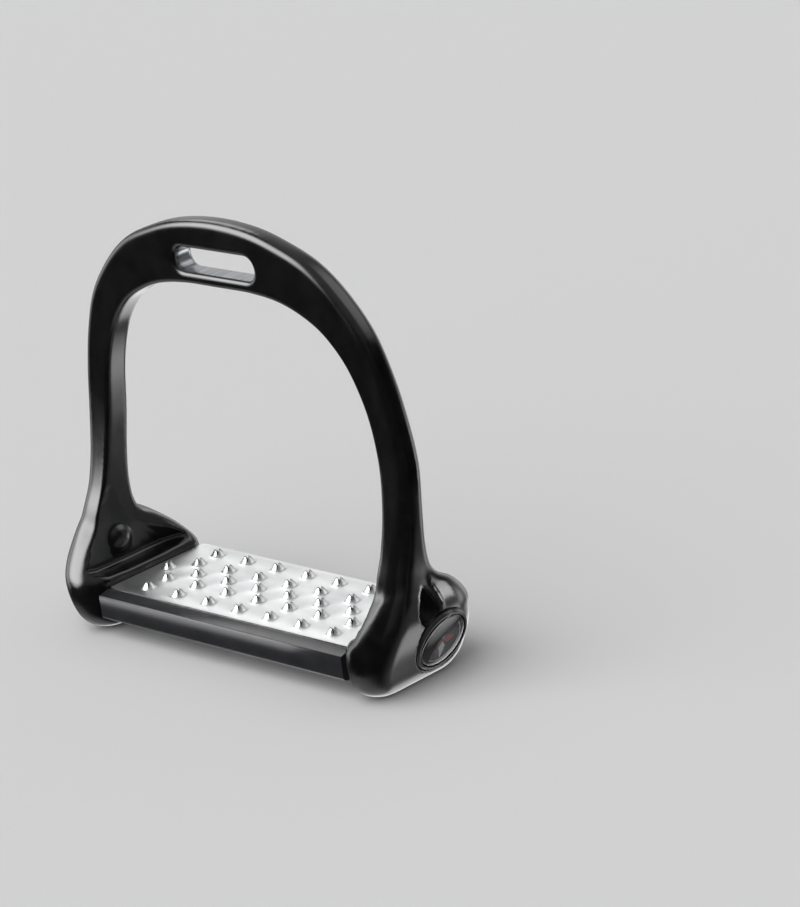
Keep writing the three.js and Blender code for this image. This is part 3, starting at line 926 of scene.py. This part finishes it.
def badge_disc(side):
    """Dark disc with a plain four-pointed compass figure and a thin ring, marks of no maker."""
    base, radius, face = BADGE_FLOOR, DISC_RADIUS, BADGE_FLOOR + 0.74
    low, high = face - 0.1, face + 0.05             # foot and top of the printed marks
    inner, outer = 7.6, 7.9                         # of the thin ring
    disc = [(0, base), (radius, base), (radius, low), (radius - 0.1, face), (0, face)]
    ring = [(inner, low), (outer, low), (outer, high), (inner, high), (inner, low)]
    parts = [lathe("disc", disc, 128), lathe("ring", ring, 128)]
    for k in range(4):
        reach = 7.2 if k % 2 == 0 else 5.8
        star = [(0.5, 0), (reach * 0.34, 1.5), (reach, 0), (reach * 0.34, -1.5)]
        point = loft("point", [[(x, y, z) for x, y in star] for z in (low, high)])
        parts.append(turned(point, Matrix.Rotation(math.pi / 2 * k, 4, "Z")))
    counts = np.cumsum([len(part.data.polygons) for part in parts])
    badge = joined(f"disc_{side}", parts)
    badge.data.materials.append(badge_foil())
    badge.data.materials.append(badge_ink("ink_silver", (0.8, 0.8, 0.84)))
    badge.data.materials.append(badge_ink("ink_red", (0.5, 0.07, 0.06)))
    foil, silver, red = 0, 1, 2
    piece_materials = (foil, silver, silver, red, silver, red)
    for index, polygon in enumerate(badge.data.polygons):
        piece = int(np.searchsorted(counts, index, side="right"))
        polygon.material_index = piece_materials[piece]
    badge = shade(turned(badge, badge_matrix()), 30)
    return finish_piece(sided(badge, side), None, f"badge_disc_{side}")


def badge_dome(side):
    """Clear domed cover over the disc."""
    base, radius, rise = BADGE_FLOOR + 0.8 + GAP, DISC_RADIUS - 0.2, 0.9
    profile = [(0, base), (radius - 0.05, base), (radius, base + 0.05), *arc(radius, rise, base + 0.2, 17)]
    dome = turned(lathe(f"dome_{side}", profile, 128, 50), badge_matrix())
    return finish_piece(sided(dome, side), clear_resin(), f"badge_dome_{side}")


# ---------------------------------------------------------------- studio

BACKDROP = 0.64         # close to the floor, so that the horizon hardly shows
ROOM_LIGHT = 0.36       # what lights the floor and the matt surfaces
ROOM_BEHIND = 0.24      # what the gloss sees behind the iron
ROOM_ABOVE = 0.35       # and above it

# Direction, half angle and soft edge in degrees, and brightness of each softbox in the gloss
SOFTBOXES = (
    ((-0.60, -0.62, 0.50), 12, 20, 8.0),      # front left: the flange of the left hub
    ((-0.98, -0.19, 0.08), 8, 16, 1.6),       # left: its outer edge
    ((-0.69, 0.64, 0.36), 12, 18, 0.55),      # behind, high: the tread plate
    ((-0.69, 0.30, 0.66), 9, 9, 2.6),         # above: the lip of the bar and the crest of the arch
    ((-0.38, 0.62, -0.69), 17, 8, 1.7),       # behind, low: the underside of the left shoulder
    ((-0.35, -0.15, -0.92), 24, 20, 0.7),     # below: the undersides of the hubs
    ((0.48, 0.62, -0.62), 5, 11, 2.4),        # behind, right: the outer side of the right hub
    ((0.33, 0.90, -0.27), 6, 9, 1.8),         # the rear outer edge of the right branch
    ((-0.25, 0.97, 0.0), 12, 14, 0.9),        # straight behind: the back of the hub's lobe
    ((0.31, 0.64, 0.67), 12, 14, 1.1),        # behind, right, high: the right side of the teeth
)

CAMERA_AIM = (22.5, 49.3, 54.6)
CAMERA_DISTANCE = 1356
CAMERA_AZIMUTH = 47.2
CAMERA_ELEVATION = 19.22
CAMERA_ROLL = -8.27
FOCAL_LENGTH = 158.77


def floor():
    """A wide pale floor just under the iron, which its gloss doesn't reflect."""
    half, drop = 9000, 0.05
    mat, shader = material("studio_floor", (0.8, 0.8, 0.805), 0.9)
    shader.inputs["Specular IOR Level"].default_value = 0.1
    plane = rectangle("floor", half, half, -drop)
    plane.data.materials.append(mat)
    plane.visible_glossy = False


def card(name, middle, towards, size, brightness):
    """A light or black card beside the iron that only its gloss reflects. Millimetres."""
    mat = bpy.data.materials.new(name)
    mat.use_nodes = True
    tree = mat.node_tree
    glow_node = node(tree, "ShaderNodeEmission", Strength=brightness)
    tree.links.new(glow_node.outputs["Emission"], tree.nodes["Material Output"].inputs["Surface"])
    width, height = size
    board = rectangle(name, width / 2, height / 2, 0)
    board.data.materials.append(mat)
    board.rotation_mode = "QUATERNION"
    board.rotation_quaternion = Vector(towards).to_track_quat("Z", "Y")
    board.location = Vector(middle) / 1000
    board.visible_camera = board.visible_diffuse = board.visible_shadow = False
    board.visible_transmission = False


def glow(tree, towards, angle, soft, strength):
    """A round softbox in the sky: full within angle degrees of its middle, gone soft degrees further out."""
    coords = node(tree, "ShaderNodeTexCoord")
    along = node(tree, "ShaderNodeVectorMath", operation="DOT_PRODUCT")
    tree.links.new(coords.outputs["Generated"], along.inputs[0])
    along.inputs[1].default_value = Vector(towards).normalized()
    rim, core = math.cos(math.radians(angle + soft)), math.cos(math.radians(angle))
    return spread(tree, along.outputs["Value"], 0, strength, rim, core)


def world():
    """The camera sees a pale backdrop and an even room lights the matt surfaces. Gloss sees a
    darker room, almost black in front, with softboxes round the iron."""
    made = bpy.data.worlds.new("studio")
    made.use_nodes = True
    tree = made.node_tree
    back = tree.nodes["Background"]
    coords = node(tree, "ShaderNodeTexCoord")
    split = node(tree, "ShaderNodeSeparateXYZ")
    tree.links.new(coords.outputs["Generated"], split.inputs["Vector"])
    behind = spread(tree, split.outputs["Y"], 0.01, ROOM_BEHIND, -0.1, 0.3)
    above = spread(tree, split.outputs["Z"], 0.0, ROOM_ABOVE, 0.3, 0.9)
    gloss = math_of(tree, "MAXIMUM", behind, above)
    for towards, angle, soft, strength in SOFTBOXES:
        gloss = math_of(tree, "ADD", gloss, glow(tree, towards, angle, soft, strength))
    path = node(tree, "ShaderNodeLightPath")
    room = node(tree, "ShaderNodeMix", data_type="FLOAT")
    tree.links.new(path.outputs["Is Glossy Ray"], room.inputs["Factor"])
    room.inputs["A"].default_value = ROOM_LIGHT
    tree.links.new(gloss, room.inputs["B"])
    seen = node(tree, "ShaderNodeMix", data_type="FLOAT")
    tree.links.new(path.outputs["Is Camera Ray"], seen.inputs["Factor"])
    tree.links.new(room.outputs["Result"], seen.inputs["A"])
    seen.inputs["B"].default_value = BACKDROP
    tree.links.new(seen.outputs["Result"], back.inputs["Color"])
    bpy.context.scene.world = made


def cards():
    """Cards near the right hub: a black one in front, a black one outside, and a small light one."""
    card("front_flag", (54, -45, 38), (0, 1, 0), (72, 86), 0)
    card("right_flag", (135, 55, 95), (-1, 0, 0), (110, 130), 0)
    card("lobe_card", (97, 20, 29), (-0.77, -0.64, 0.08), (10, 9), 6.5)


def fill_light():
    """Broad light from high in front that lifts the shadow under the tread."""
    light = bpy.data.lights.new("fill", "SUN")
    light.energy = 1.9
    light.angle = math.radians(80)
    lamp = linked("fill", light)
    lamp.rotation_mode = "QUATERNION"
    lamp.rotation_quaternion = Vector((-0.15, -0.75, 0.8)).to_track_quat("Z", "Y")
    lamp.visible_glossy = False


def camera():
    """The photograph's camera: a long lens from the front right, a little above."""
    azimuth, elevation = math.radians(CAMERA_AZIMUTH), math.radians(CAMERA_ELEVATION)
    back = Vector((math.sin(azimuth) * math.cos(elevation), -math.cos(azimuth) * math.cos(elevation),
                   math.sin(elevation)))
    lens = bpy.data.cameras.new("camera")
    lens.lens = FOCAL_LENGTH
    lens.sensor_width = 36
    lens.clip_start, lens.clip_end = 0.05, 60
    cam = linked("camera", lens)
    cam.location = (Vector(CAMERA_AIM) + back * CAMERA_DISTANCE) / 1000
    level = (-back).to_track_quat("-Z", "Y").to_matrix().to_4x4()
    cam.rotation_euler = (level @ Matrix.Rotation(math.radians(CAMERA_ROLL), 4, "Z")).to_euler()
    bpy.context.scene.camera = cam


bpy.context.scene.view_settings.view_transform = "Standard"
camera()
world()
cards()
fill_light()
floor()

ZINC = zinc_plate()
cast_frame()
tread_bar()
tread_plate()
tread_pad()
for number in range(1, 7):
    plate_screw(number)
for side in ("right", "left"):
    hub_washer(side)
    hub_bolt(side)
    badge_bezel(side)
    badge_disc(side)
    badge_dome(side)
